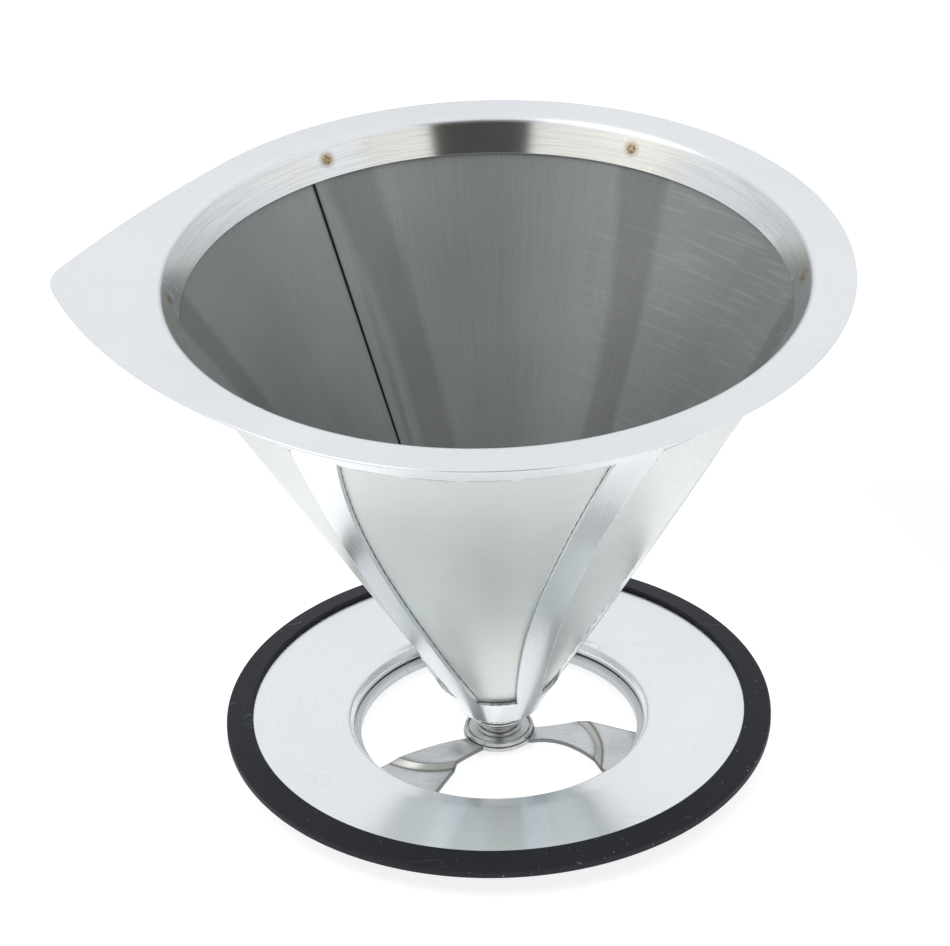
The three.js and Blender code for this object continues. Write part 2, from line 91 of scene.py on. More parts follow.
# A socket of a shader. Arithmetic on it adds Math nodes to its tree.
class Wire:
    def __init__(self, paint, socket):
        self.paint = paint
        self.socket = socket

    def maths(self, operation, *others, first=None):
        values = [self if first is None else first, *others]
        return self.paint.add("ShaderNodeMath", {"operation": operation}, dict(enumerate(values)))

    def __add__(self, other):
        return self.maths("ADD", other)

    def __sub__(self, other):
        return self.maths("SUBTRACT", other)

    def __mul__(self, other):
        return self.maths("MULTIPLY", other)

    def __truediv__(self, other):
        return self.maths("DIVIDE", other)

    def __pow__(self, other):
        return self.maths("POWER", other)

    def __rsub__(self, other):
        return self.maths("SUBTRACT", self, first=other)

    def __rtruediv__(self, other):
        return self.maths("DIVIDE", self, first=other)

    __radd__ = __add__
    __rmul__ = __mul__

    # 0 below low, 1 above high, smooth between
    def between(self, low, high):
        return self.paint.add(
            "ShaderNodeMapRange", {"interpolation_type": "SMOOTHSTEP"},
            {"Value": self, "From Min": low, "From Max": high},
        )


# The nodes of one material or of the world.
class Paint:
    def __init__(self, tree):
        self.tree = tree
        tree.nodes.clear()

    def put(self, socket, value):
        if isinstance(value, Wire):
            self.tree.links.new(value.socket, socket)
        elif isinstance(value, (tuple, list)) and len(socket.default_value) == 4:
            socket.default_value = (*value[:3], 1.0)
        else:
            socket.default_value = value

    def node(self, kind, settings=None, inputs=None):
        made = self.tree.nodes.new(kind)
        for name, value in (settings or {}).items():
            setattr(made, name, value)
        for name, value in (inputs or {}).items():
            self.put(made.inputs[name], value)
        return made

    def add(self, kind, settings=None, inputs=None, out=0):
        return Wire(self, self.node(kind, settings, inputs).outputs[out])

    def split(self, vector):
        made = self.node("ShaderNodeSeparateXYZ", inputs={0: vector})
        return [Wire(self, socket) for socket in made.outputs]

    def join(self, x, y, z):
        return self.add("ShaderNodeCombineXYZ", inputs={0: x, 1: y, 2: z})

    # two colours, from a at 0 to b at 1
    def blend(self, factor, a, b, way="MIX"):
        made = self.node("ShaderNodeMix", {"data_type": "RGBA", "blend_type": way})
        self.put(made.inputs[0], factor)
        self.put(made.inputs[6], a)
        self.put(made.inputs[7], b)
        return Wire(self, made.outputs[2])

    def noise(self, vector, scale=1.0, detail=2.0, roughness=0.5):
        return self.add("ShaderNodeTexNoise", inputs={
            "Vector": vector, "Scale": scale, "Detail": detail, "Roughness": roughness,
        })

    # noise drawn out along one direction: turn is in radians about Z, scale is for each axis
    def strokes(self, spot, turn, scale, detail=1.0):
        return self.noise(self.add(
            "ShaderNodeMapping", {}, {"Vector": spot, "Rotation": (0, 0, turn), "Scale": scale},
        ), 1.0, detail)

    def bump(self, height, strength, distance):
        return self.add("ShaderNodeBump", inputs={
            "Height": height, "Strength": strength, "Distance": distance,
        })


# A lit table and an even white room, dimmer low down and dark where the camera stands.
room = {
    "sky": (0.98, 0.99, 1.0),
    "horizon": (0.62, 0.64, 0.66),
    "horizonTop": 0.42,  # sine of the height where the sky is at its full brightness
    "cameraDark": 0.04,
    "cameraHalfWidth": 0.27,  # sideways half width of the dark patch, as a direction
    "cameraLow": 0.22,
    "cameraHigh": 0.80,
    "strength": 1.0,
}


def makeRoom():
    world = bpy.data.worlds.new("room")
    world.use_nodes = True
    bpy.context.scene.world = world
    paint = Paint(world.node_tree)
    x, y, z = paint.split(paint.add("ShaderNodeTexCoord", out=0))
    sky = paint.blend(z.between(-0.05, room["horizonTop"]), room["horizon"], room["sky"])
    side = x.maths("ABSOLUTE")
    edge = room["cameraHalfWidth"]
    front = (1 - side.between(edge - 0.015, edge + 0.015)) * (1 - y.between(-0.35, -0.25))
    tall = z.between(room["cameraLow"] - 0.08, room["cameraLow"] + 0.08)
    dark = front * tall * (1 - z.between(room["cameraHigh"] - 0.06, room["cameraHigh"] + 0.06))
    shade = paint.blend(dark, sky, (room["cameraDark"],) * 3)
    background = paint.node("ShaderNodeBackground", inputs={0: shade, 1: room["strength"]})
    output = paint.node("ShaderNodeOutputWorld")
    paint.tree.links.new(background.outputs[0], output.inputs[0])


makeRoom()

lamps = {
    "keyLamp": {"place": (-0.9, -0.3, 1.5), "size": 1.2, "power": 5.0},
}

for name, lamp in lamps.items():
    lampData = bpy.data.lights.new(name, "AREA")
    lampData.shape = "DISK"
    lampData.size = lamp["size"]
    lampData.energy = lamp["power"]
    lampObject = bpy.data.objects.new(name, lampData)
    aim = -Matrix.Translation(lamp["place"]).to_translation()
    lampObject.location = lamp["place"]
    lampObject.rotation_euler = aim.to_track_quat("-Z", "Y").to_euler()
    bpy.context.scene.collection.objects.link(lampObject)


# ---- meshes

# Puts points and polygons into a mesh. faces is a list of whole-number arrays, one row for each
# polygon, so quads and many-sided caps can share one mesh.
def makeMesh(name, points, faces, smooth=True):
    mesh = bpy.data.meshes.new(name)
    sizes = np.concatenate([np.full(len(block), block.shape[1]) for block in faces])
    corners = np.concatenate([block.reshape(-1) for block in faces]).astype(np.int32)
    mesh.vertices.add(len(points))
    mesh.vertices.foreach_set("co", np.ascontiguousarray(points, np.float32).reshape(-1))
    mesh.loops.add(len(corners))
    mesh.loops.foreach_set("vertex_index", corners)
    mesh.polygons.add(len(sizes))
    mesh.polygons.foreach_set("loop_start", np.concatenate([[0], np.cumsum(sizes)[:-1]]).astype(np.int32))
    mesh.polygons.foreach_set("use_smooth", np.full(len(sizes), smooth))
    mesh.update(calc_edges=True)
    mesh.validate()
    made = bpy.data.objects.new(name, mesh)
    bpy.context.scene.collection.objects.link(made)
    return made


# The quads of a grid of points: row i, column j is point i * columns + j. The last row or
# column joins the first where it is closed.
def gridFaces(rows, columns, closeRows=True, closeColumns=True):
    i = np.arange(rows if closeRows else rows - 1)[:, None]
    j = np.arange(columns if closeColumns else columns - 1)[None, :]
    here, above = i * columns, ((i + 1) % rows) * columns
    right = (j + 1) % columns
    return np.stack([here + j, here + right, above + right, above + j], -1).reshape(-1, 4)


# Rounds every corner of a closed section. corners holds radius, height and rounding. A corner is
# an arc: ((1-t)^2 A + 2wt(1-t) C + t^2 B) over the same weights' sum, where A and B lie on its
# two sides, C is the corner and w is the cosine of half the turn. One more point is set on the
# straight at each end, to keep the flats flat.
def roundedSection(corners, steps=4):
    spots = np.array(corners, float)
    corner, rounding = spots[:, :2], spots[:, 2]
    side = np.roll(corner, -1, 0) - corner
    length = np.linalg.norm(side, axis=1)
    out = side / length[:, None]
    into = np.roll(out, 1, 0)
    turning = np.arccos(np.clip((into * out).sum(1), -1, 1))
    room = 0.42 * np.minimum(length, np.roll(length, 1))
    reach = np.minimum(rounding * np.tan(turning / 2), room)[:, None, None]
    middle = corner[:, None]
    start, end = middle - into[:, None] * reach, middle + out[:, None] * reach
    t = np.linspace(0, 1, steps + 1)[None, :, None]
    pull = 2 * np.cos(turning / 2)[:, None, None] * t * (1 - t)
    arc = (start * (1 - t) ** 2 + middle * pull + end * t ** 2) / ((1 - t) ** 2 + pull + t ** 2)
    before, after = start - into[:, None] * reach * 0.12, end + out[:, None] * reach * 0.12
    return np.concatenate([before, arc, after], 1).reshape(-1, 2)


# Points at radius r and azimuth a: (r cos a, r sin a, height).
def polar(radius, azimuth, height):
    spots = radius * np.cos(azimuth), radius * np.sin(azimuth), height
    return np.stack(np.broadcast_arrays(*spots), -1)


# Turns a section about the Z axis.
def turnedPoints(section, steps):
    return polar(section[:, :1], np.arange(steps) * full / steps, section[:, 1:])


# Says which body a piece rides on, which CAD nodes it stands for, and its finish.
def settle(piece, node, material):
    piece.data.materials.clear()
    piece.data.materials.append(material)
    if node:
        body = frame["nodes"][node]["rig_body"]
        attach(piece, body)
        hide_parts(node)
    return piece


def turnedPiece(name, node, section, material, steps=192):
    points = turnedPoints(section, steps).reshape(-1, 3)
    return settle(makeMesh(name, points, [gridFaces(len(section), steps)]), node, material)


# Rounds the edges of a sheet that turn by more than the given angle.
def softenEdges(piece, width, degrees):
    bevel = piece.modifiers.new("softEdges", "BEVEL")
    bevel.width = width
    bevel.segments = 2
    bevel.limit_method = "ANGLE"
    bevel.angle_limit = math.radians(degrees)
    bevel.harden_normals = True


# The faces of a stack of rings whose first and last are closed by flat caps.
def cappedFaces(rows, steps):
    ring = np.arange(steps)[None, :]
    return [gridFaces(rows, steps, closeRows=False), ring[:, ::-1].copy(), ring + (rows - 1) * steps]


def cappedPiece(name, node, section, material, steps=128):
    points = turnedPoints(section, steps).reshape(-1, 3)
    return settle(makeMesh(name, points, cappedFaces(len(section), steps)), node, material)


def corners(*rows):
    return [(radius, height, rounding * mm) for radius, height, rounding in rows]


# ---- finishes

def newMaterial(name):
    material = bpy.data.materials.new(name)
    material.use_nodes = True
    return material, Paint(material.node_tree)


def finishMaterial(paint, constants, varying):
    shader = paint.node("ShaderNodeBsdfPrincipled")
    for name, value in constants.items():
        shader.inputs[name].default_value = value
    for name, value in varying.items():
        paint.put(shader.inputs[name], value)
    output = paint.node("ShaderNodeOutputMaterial")
    paint.tree.links.new(shader.outputs[0], output.inputs[0])


# Where a point is: its coordinates, its distance from the axis, and its direction from the axis.
def aroundAxis(paint):
    spot = paint.add("ShaderNodeTexCoord", out=3)
    x, y, z = paint.split(spot)
    radius = (x * x + y * y) ** 0.5
    return spot, x, y, z, radius, x / radius, y / radius


# A fine brushing that runs round the axis: noise that changes slowly with direction and
# quickly with the distance along the section.
def roundBrushing(paint, acrossX, acrossY, along, pitch, reach=3.0):
    return paint.noise(paint.join(acrossX * reach, acrossY * reach, along / pitch), 1.0, 3.0, 0.6)


steelTone = {
    "dark": (0.74, 0.765, 0.79),
    "light": (0.84, 0.86, 0.88),
    "warm": (0.80, 0.77, 0.66),
    "tint": (0.33, 0.22, 0.09),
}


# Sheet steel with a circular brushing, a few darker clouds and stray scratches.
def brushedSteel(name, roughness=0.24, pitch=0.09 * mm, contrast=1.0, anisotropy=0.65, extra=None):
    material, paint = newMaterial(name)
    spot, x, y, z, radius, acrossX, acrossY = aroundAxis(paint)
    brush = roundBrushing(paint, acrossX, acrossY, radius + z * 1.7, pitch)
    coarse = roundBrushing(paint, acrossX, acrossY, radius + z * 1.7, pitch * 7, 5.0)
    cloud = paint.noise(spot, 45.0, 3.0)
    tone = ((brush - 0.5) * 0.9 + (coarse - 0.5) * 0.6) * contrast + 0.5 + (cloud - 0.5) * 0.5
    color = paint.blend(tone.between(0.0, 1.0), steelTone["dark"], steelTone["light"])
    scratch = paint.strokes(spot, 0.6, (14, 900, 300)).between(0.69, 0.73)
    rough = brush * 0.10 + cloud * 0.06 + scratch * 0.10 + (roughness - 0.08)
    if extra:
        color, rough = extra(paint, color, rough, (x, y, z, radius))
    height = brush * contrast + coarse * 0.4 - scratch * 0.4
    finishMaterial(paint, {"Metallic": 1.0, "Anisotropic": anisotropy, "Anisotropic Rotation": 0.25}, {
        "Base Color": color, "Roughness": rough,
        "Normal": paint.bump(height, 0.22, 0.006 * mm),
    })
    return material


# ---- cone: its common lines

cone = {
    "halfAngle": math.radians(30),
    "mouthRadius": 55.6 * mm,  # collar's inner face carried up to the rim's top
    "rimTop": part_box("rim_flange")[1][2],
    "sheet": 0.5 * mm,
    "layerGap": 0.15 * mm,
    "meshSheet": 0.35 * mm,
    "frameSheet": 0.6 * mm,
}
slope, cosCone, sinCone = (f(cone["halfAngle"]) for f in (math.tan, math.cos, math.sin))
apexHeight = cone["rimTop"] - cone["mouthRadius"] / slope
innerOffset = cone["sheet"] + cone["layerGap"]
outerOffset = innerOffset + cone["meshSheet"] + cone["layerGap"]
frameOffset = outerOffset + cone["meshSheet"] + cone["layerGap"]
stackThickness = frameOffset + cone["frameSheet"]
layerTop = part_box("inner_mesh")[1][2]
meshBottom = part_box("inner_mesh")[0][2]


# A cone's radius: slope times the height above its point, plus the layer's own offset.
def coneRadius(height, offset):
    return slope * (height - apexHeight) + offset / cosCone


# ---- rim and collar

rim = {
    "outlineRadius": 62.5 * mm,
    "shift": (0.4 * mm, -0.5 * mm),
    "tabReach": 74.65 * mm,
    "tabSkew": 2.6,
    "tipSetback": 1.6 * mm,
    "straightTurn": 40.0,
    "fullTurn": 60.0,
    "bend": 1.4 * mm,
    "collarDepth": 5.7 * mm,
    "steps": 420,
}
welds = {
    "count": 6,
    "azimuth": math.radians(0.5),
    "depth": 2.7 * mm,
    "radius": 0.8 * mm,
    "proud": 0.05 * mm,
}


# One edge of the thumb tab: an arc from the tab's corner to the point where it runs into the
# rim's circle, its centre on the line through that point and the circle's centre.
def tabEdge(turnDegrees, samples=60):
    corner = rim["tabReach"] + rim["tipSetback"] / 2
    meets = math.radians(turnDegrees)
    along = corner * math.cos(meets)
    reach = rim["outlineRadius"]
    radius = (corner ** 2 + reach ** 2 - 2 * reach * along) / (2 * (reach - along))
    center = -(radius - reach) * np.array([math.cos(meets), math.sin(meets)])
    start = math.atan2(-center[1], corner - center[0])
    angle = start + (meets - start) * np.linspace(0, 1, samples) ** 1.5
    arc = center + radius * np.stack([np.cos(angle), np.sin(angle)], -1)
    return arc[arc[:, 0] < corner - rim["tipSetback"]]


# The rim's outline as a distance from the axis for each azimuth: circle, two tab edges and the
# tip's parabola are laid end to end, and read off by azimuth.
def rimReach(azimuth):
    corner = np.array([rim["tabReach"] + rim["tipSetback"] / 2, 0.0])
    left, right = tabEdge(rim["fullTurn"]), tabEdge(-rim["straightTurn"])
    rest = np.linspace(math.radians(rim["fullTurn"]), full - math.radians(rim["straightTurn"]), 500)[1:-1]
    circle = rim["outlineRadius"] * np.stack([np.cos(rest), np.sin(rest)], -1)
    t = np.linspace(0, 1, 30)[1:-1, None]
    tip = right[0] * (1 - t) ** 2 + corner * 2 * t * (1 - t) + left[0] * t ** 2
    line = np.concatenate([left, circle, right[::-1], tip])
    turned = math.pi - math.radians(rim["tabSkew"])
    c, s = math.cos(turned), math.sin(turned)
    line = line @ np.array([[c, s], [-s, c]]) + np.array(rim["shift"])
    bearing = np.arctan2(line[:, 1], line[:, 0])
    order = np.argsort(bearing)
    return np.interp(azimuth, bearing[order], np.linalg.norm(line, axis=1)[order], period=full)


# The rim is its section carried round the axis. A row is (inner radius, share, edge shift,
# height), and its radius is inner * (1 - share) + outline * share + shift.
def rimRows():
    top, sheet, bend = cone["rimTop"], cone["sheet"], rim["bend"]
    bottom = top - rim["collarDepth"]
    centerHeight = top - bend
    center = bend * cosCone + slope * (centerHeight + bend * sinCone - apexHeight)
    turnIn = np.radians(np.linspace(150, 90, 9))
    direction = np.stack([np.cos(turnIn), np.sin(turnIn)], -1)
    middle = np.array([center, centerHeight])
    under, over = middle + (bend - sheet) * direction, (middle + bend * direction)[::-1]
    lip = 0.12 * mm
    foot = roundedSection([
        (coneRadius(bottom + 2 * mm, 0), bottom + 2 * mm, 0.01 * mm),
        (coneRadius(bottom, 0), bottom, lip),
        (coneRadius(bottom, sheet), bottom, lip),
        (coneRadius(bottom + 2 * mm, sheet), bottom + 2 * mm, 0.01 * mm),
    ])
    count = len(foot) // 4
    inner = np.concatenate([foot[count:3 * count], under])
    plain = np.zeros(len(inner))
    edge = np.radians(np.linspace(-90, 90, 9))
    half = sheet / 2
    openRadius = center + bend
    shares = np.array([0.0, 0.02, 0.25, 0.55, 0.8, 1.0])
    flatShift = np.array([0, 0, 0, 0, 0, -0.6]) * mm
    flat = np.full(6, top - sheet)
    lower = np.stack([openRadius * (shares < 1), shares, flatShift, flat], -1)
    inwards, height = half * 0.8 * (np.cos(edge) - 1), top - half + half * np.sin(edge)
    rounded = np.stack([np.zeros(9), np.ones(9), inwards, height], -1)
    upper = lower[::-1] + np.array([0, 0, 0, sheet])
    back = np.stack([over[:, 0], np.zeros(len(over)), np.zeros(len(over)), over[:, 1]], -1)
    inside = np.stack([inner[:, 0], plain, plain, inner[:, 1]], -1)
    return np.concatenate([inside, lower, rounded, upper, back])


# Columns gather at the thumb tab's tip, where the outline turns fastest.
def makeRim(material):
    share = np.linspace(-1, 1, rim["steps"], endpoint=False)
    azimuth = math.pi - math.radians(rim["tabSkew"]) + math.pi * share * (0.1 + 0.9 * np.abs(share))
    reach = rimReach(azimuth)[None, :]
    inner, outward, shift, height = (column[:, None] for column in rimRows().T)
    radius = inner * (1 - outward) + reach * outward + shift
    points = polar(radius, azimuth, height)
    faces = gridFaces(*radius.shape)
    return settle(makeMesh("rim", points.reshape(-1, 3), [faces]), "rim_flange", material)


# Heat tint round each weld, and a warm cast on the collar between them. The azimuth is folded
# into one sixth of a turn, so one mark serves all six.
def collarTint(paint, color, rough, place):
    x, y, z, radius = place
    height = cone["rimTop"] - welds["depth"]
    step = full / welds["count"]
    bearing = y.maths("ARCTAN2", x) - welds["azimuth"]
    folded = bearing - (bearing / step).maths("ROUND") * step
    across, up = folded * radius, (z - height) / cosCone
    distance = (across * across + up * up) ** 0.5
    inCollar = 1 - z.between(cone["rimTop"] - 1.0 * mm, cone["rimTop"] - 0.6 * mm)
    halo = (1 - distance.between(0.5 * mm, 2.0 * mm)) * inCollar * 0.75
    wide = paint.noise(paint.join(x, y, z * 0.3), 30.0, 2.0).between(0.48, 0.66) * inCollar * 0.6
    streak = roundBrushing(paint, x / radius, y / radius, z, 0.26 * mm, 4.0)
    worn = inCollar * streak.between(0.38, 0.72) * 0.4
    color = paint.blend(wide, color, steelTone["warm"])
    color = paint.blend(worn, color, (0.50, 0.52, 0.53))
    color = paint.blend(halo, color, steelTone["tint"])
    return color, rough + worn * 0.05 + halo * 0.1 - inCollar * 0.09


rimSteel = brushedSteel("rimSteel", 0.27, contrast=0.5, anisotropy=0.85, extra=collarTint)
makeRim(rimSteel)
print("rim done")


# ---- mesh cones

weave = {
    "pitch": 0.24 * mm,
    "seamAzimuth": math.radians(124.5),
    "overlap": math.radians(2.6),
    "lift": 0.30 * mm,
    "innerDark": (0.262, 0.275, 0.275),
    "innerLight": (0.402, 0.415, 0.408),
    "outerDark": (0.66, 0.69, 0.665),
    "outerLight": (0.77, 0.80, 0.775),
    # painted shade colour for the bands behind the struts
    "strutShadeTone": (0.78, 0.785, 0.775),
}


# Woven wire. The weave lies straight in the sheet before it is rolled, so it reads the rolled
# sheet's own flat coordinates, in metres.
def wovenSteel(name, dark, light, streaks, roughness, metallic, paintedShades, relief):
    material, paint = newMaterial(name)
    flat = paint.add("ShaderNodeUVMap", {"uv_map": "flatSheet"})
    u, v = paint.split(flat)[:2]
    wave = full / weave["pitch"]
    over = ((u + v) * wave * 0.7071).maths("SINE") * ((u - v) * wave * 0.7071).maths("SINE")
    twill = ((u * 0.92 + v * 0.39) * (full / (weave["pitch"] * 2.1))).maths("SINE")
    spot, x, y, z, radius, acrossX, acrossY = aroundAxis(paint)
    around, along = streaks
    streak = paint.noise(paint.join(acrossX * around, acrossY * around, z * along), 1.0, 2.0, 0.55)
    cloud = paint.noise(flat, 38.0, 3.0)
    # painted sheen: lighter diagonal streaks, only on the side where x is positive
    sheenNoise = paint.noise(paint.join((u * 0.8 + v * 0.6) * 70, (v * 0.8 - u * 0.6) * 1300, 0.0), 1.0, 2.0)
    paintedSheen = sheenNoise.between(0.5, 0.75) * x.between(0.0, 45 * mm)
    tone = streak * 0.5 + cloud * 0.6 + over * 0.09 + twill * 0.07 + paintedSheen * 0.35 - 0.08
    color = paint.blend(tone.between(0.0, 1.0), dark, light)
    if paintedShades:
        # painted shade: darker bands where the struts behind the mesh cut off light
        strutShadow = paint.add("ShaderNodeAttribute", {"attribute_name": "strutShadowPainted"}, out=2)
        # painted shadow along the seam's free edge and on the layer under it
        seamShadow = paint.add("ShaderNodeAttribute", {"attribute_name": "seamShade"}, out=2)
        color = paint.blend(strutShadow, color, weave["strutShadeTone"], "MULTIPLY")
        color = paint.blend(seamShadow, color, (0.012, 0.012, 0.014))
    finishMaterial(paint, {"Metallic": metallic, "Specular IOR Level": 0.4}, {
        "Base Color": color, "Roughness": streak * 0.12 + (roughness - 0.06),
        "Normal": paint.bump(over * 0.6 + twill * 0.3 + streak * 0.5, relief, 0.02 * mm),
    })
    return material


# Flat coordinates of a rolled cone: with s the distance from its point and a the azimuth from
# the seam, u = s sin(a sin h) and v = s cos(a sin h), where h is the half angle.
def flatSheet(piece, azimuth, height):
    distance = (height - apexHeight) / cosCone
    angle = (azimuth - weave["seamAzimuth"]) * sinCone
    spots = np.stack([distance * np.sin(angle), distance * np.cos(angle)], -1).reshape(-1, 2)
    mesh = piece.data
    index = np.zeros(len(mesh.loops), np.int32)
    mesh.loops.foreach_get("vertex_index", index)
    mesh.uv_layers.new(name="flatSheet").data.foreach_set("uv", spots[index].astype(np.float32).reshape(-1))


def pointAttribute(piece, name, values):
    made = piece.data.attributes.new(name, "FLOAT", "POINT")
    made.data.foreach_set("value", np.ascontiguousarray(values, np.float32).reshape(-1))


struts = {
    "count": 6,
    "azimuth": math.radians(56.8),
    "width": 5.8 * mm,
    "flare": 3.4 * mm,
    "taper": 1.1 * mm,
    "bow": 4.1 * mm,
    "lean": 0.5 * mm,
    "windowBottom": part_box("cone_frame")[0][2] + 6.1 * mm,
    "windowTop": cone["rimTop"] - 7.8 * mm,
}


# Where a strut's edge runs, as an azimuth from the strut's own: its middle bows as a parabola,
# it widens over its upper half and narrows over its lowest third.
def strutEdge(side, height):
    tall = struts["windowTop"] - struts["windowBottom"]
    share = np.clip((height - struts["windowBottom"]) / tall, 0, 1)
    held = struts["windowBottom"] + share * tall
    bow = struts["lean"] * (1 - share) - 4 * struts["bow"] * share * (1 - share)
    flare = struts["flare"] * np.maximum(0, (share - 0.5) / 0.5) ** 2
    taper = struts["taper"] * np.maximum(0, (0.3 - share) / 0.3)
    return (bow + side * (struts["width"] + flare - taper) / 2) / coneRadius(held, stackThickness)


# Painted shade on the inner mesh: 1 where a strut backs the mesh and cuts off the light it lets through, 0
# in a window, with soft edges and a faint second band.
def strutShade(azimuth, height):
    step = full / struts["count"]
    folded = (azimuth - struts["azimuth"] + step / 2) % step - step / 2
    middle = (strutEdge(1, height) + strutEdge(-1, height)) / 2
    half = (strutEdge(1, height) - strutEdge(-1, height)) / 2
    inside = np.clip((half - np.abs(folded - middle)) / 0.035 + 0.7, 0, 1)
    second = 0.15 * np.exp(-((folded - middle - 0.56) / 0.07) ** 2)
    return np.maximum(inside, second)


# The inner cone is one sheet rolled past a full turn. Its offset falls by the sheet's thickness
# over the last few degrees, where it lies on its own start.
def makeInnerMesh(material):
    edge = weave["seamAzimuth"]
    start, end = edge - weave["overlap"], edge + full
    fine = np.array([0.0, 0.15, 0.3, 0.5, 0.8, 1.3]) * mm / (30 * mm)
    azimuth = np.unique(np.concatenate([
        np.linspace(start, end, 481), end - fine, edge + fine, edge - fine[:4],
    ]))
    rise = np.clip((azimuth - (end - weave["overlap"] * 2.2)) / (weave["overlap"] * 1.1), 0, 1)
    lifted = weave["lift"] * rise * rise * (3 - 2 * rise)
    heights = np.linspace(layerTop, meshBottom, 44)
    around = np.concatenate([heights, heights[::-1][[0, -1]]])  # down the inside, up the outside
    thickness = np.concatenate([np.zeros(44), np.full(2, cone["meshSheet"])])
    offset = innerOffset - lifted[None, :] + thickness[:, None]
    height = np.broadcast_to(around[:, None], offset.shape)
    radius = coneRadius(height, offset)
    points = polar(radius, azimuth, height)
    rows, columns = radius.shape
    ends = np.arange(rows)[None, :] * columns
    faces = [gridFaces(rows, columns, closeColumns=False), ends[:, ::-1].copy(), ends + columns - 1]
    piece = makeMesh("innerMesh", points.reshape(-1, 3), faces)
    bearing = np.broadcast_to(azimuth, radius.shape)
    flatSheet(piece, bearing, height)
    # painted shade where a strut stands behind the mesh
    pointAttribute(piece, "strutShadowPainted", strutShade(bearing, height))
    # painted shadow: strongest at the sheet's free edge and where it lies on its own start
    lap = np.minimum(np.abs(azimuth - end), np.abs(azimuth - edge)) * coneRadius(heights.mean(), 0)
    pointAttribute(piece, "seamShade", np.broadcast_to(np.exp(-(lap / (0.15 * mm)) ** 2), radius.shape))
    return settle(piece, "inner_mesh", material)


def makeOuterMesh(material):
    bottom, top = meshBottom, layerTop
    thick = cone["meshSheet"]
    section = np.array([
        (coneRadius(bottom, outerOffset), bottom), (coneRadius(bottom, outerOffset + thick), bottom),
        (coneRadius(top, outerOffset + thick), top), (coneRadius(top, outerOffset), top),
    ])
    steps = 360
    points = turnedPoints(section, steps)
    piece = makeMesh("outerMesh", points.reshape(-1, 3), [gridFaces(4, steps)], smooth=False)
    azimuth = np.broadcast_to(np.arange(steps) * full / steps, points.shape[:2])
    flatSheet(piece, azimuth, points[..., 2])
    return settle(piece, "outer_mesh", material)


makeInnerMesh(wovenSteel(
    "innerWeave", weave["innerDark"], weave["innerLight"], (170.0, 60.0), 0.55, 0.75, True, 0.35,
))
makeOuterMesh(wovenSteel(
    "outerWeave", weave["outerDark"], weave["outerLight"], (9.0, 2400.0), 0.38, 1.0, False, 0.16,
))
print("mesh cones done")


# ---- slotted shell

shell = {"strutColumns": 10, "windowColumns": 20, "windowRows": 60, "bandRows": 6, "bevel": 0.1 * mm}


# The shell is a grid on the cone whose columns follow the struts' edges. The window cells are
# left out, and a wall closes the sheet along every border between a kept and an open cell.
def makeShell(material):
    bottom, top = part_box("cone_frame")[0][2], layerTop
    height = np.concatenate([
        np.linspace(bottom, struts["windowBottom"], shell["bandRows"], endpoint=False),
        np.linspace(struts["windowBottom"], struts["windowTop"], shell["windowRows"], endpoint=False),
        np.linspace(struts["windowTop"], top, shell["bandRows"]),
    ])[:, None]
    step = full / struts["count"]
    left, right = strutEdge(-1, height), strutEdge(1, height)
    onStrut = left + (right - left) * np.linspace(0, 1, shell["strutColumns"], endpoint=False)
    onWindow = right + (left + step - right) * np.linspace(0, 1, shell["windowColumns"], endpoint=False)
    sector = np.concatenate([onStrut, onWindow], 1)
    azimuth = struts["azimuth"] + np.concatenate([sector + step * k for k in range(struts["count"])], 1)
    rows, columns = azimuth.shape
    tall = np.broadcast_to(height, azimuth.shape)

    def face(offset):
        return polar(coneRadius(tall, offset), azimuth, tall).reshape(-1, 3)

    points = np.concatenate([face(frameOffset), face(stackThickness)])
    quads = gridFaces(rows, columns, closeRows=False).reshape(rows - 1, columns, 4)
    middle = (height[1:] + height[:-1]) / 2
    inRows = (middle > struts["windowBottom"]) & (middle < struts["windowTop"])
    inColumns = np.tile(np.arange(sector.shape[1]) >= shell["strutColumns"], struts["count"])[None, :]
    kept = ~(inRows & inColumns)
    outside = quads[kept] + rows * columns
    inside = quads[kept][:, ::-1]
    walls = []
    padded = np.pad(kept, ((1, 1), (0, 0)))
    neighbours = {
        (0, 1): padded[:-2], (1, 2): np.roll(kept, -1, 1), (2, 3): padded[2:], (3, 0): np.roll(kept, 1, 1),
    }
    for (a, b), other in neighbours.items():
        border = quads[kept & ~other]
        walls.append(np.stack([
            border[:, b], border[:, a], border[:, a] + rows * columns, border[:, b] + rows * columns,
        ], -1))
    faces = np.concatenate([outside, inside, *walls])
    used, packed = np.unique(faces, return_inverse=True)
    piece = makeMesh("shell", points[used], [packed.reshape(-1, 4)])
    softenEdges(piece, shell["bevel"], 50)
    return settle(piece, "cone_frame", material)


# Polished sheet with a faint grain along the struts and soft blue-grey patches of painted reflection.
def shellSteel():
    material, paint = newMaterial("shellSteel")
    spot, x, y, z, radius, acrossX, acrossY = aroundAxis(paint)
    grain = paint.noise(paint.join(acrossX * 260, acrossY * 260, z * 60), 1.0, 3.0, 0.6)
    # painted reflection: soft blue-grey patches
    reflectionPatch = paint.noise(paint.join(acrossX * 1.6, acrossY * 1.6, z * 38), 1.0, 1.0).between(0.42, 0.62)
    color = paint.blend(reflectionPatch * 0.6, (0.80, 0.825, 0.84), (0.62, 0.66, 0.69))
    color = paint.blend(grain.between(0.3, 0.8) * 0.3, color, (0.88, 0.89, 0.90))
    finishMaterial(paint, {"Metallic": 1.0}, {
        "Base Color": color, "Roughness": grain * 0.12 + reflectionPatch * 0.05 + 0.16,
        "Normal": paint.bump(grain, 0.15, 0.005 * mm),
    })
    return material


makeShell(shellSteel())
print("shell done")


# ---- collar welds

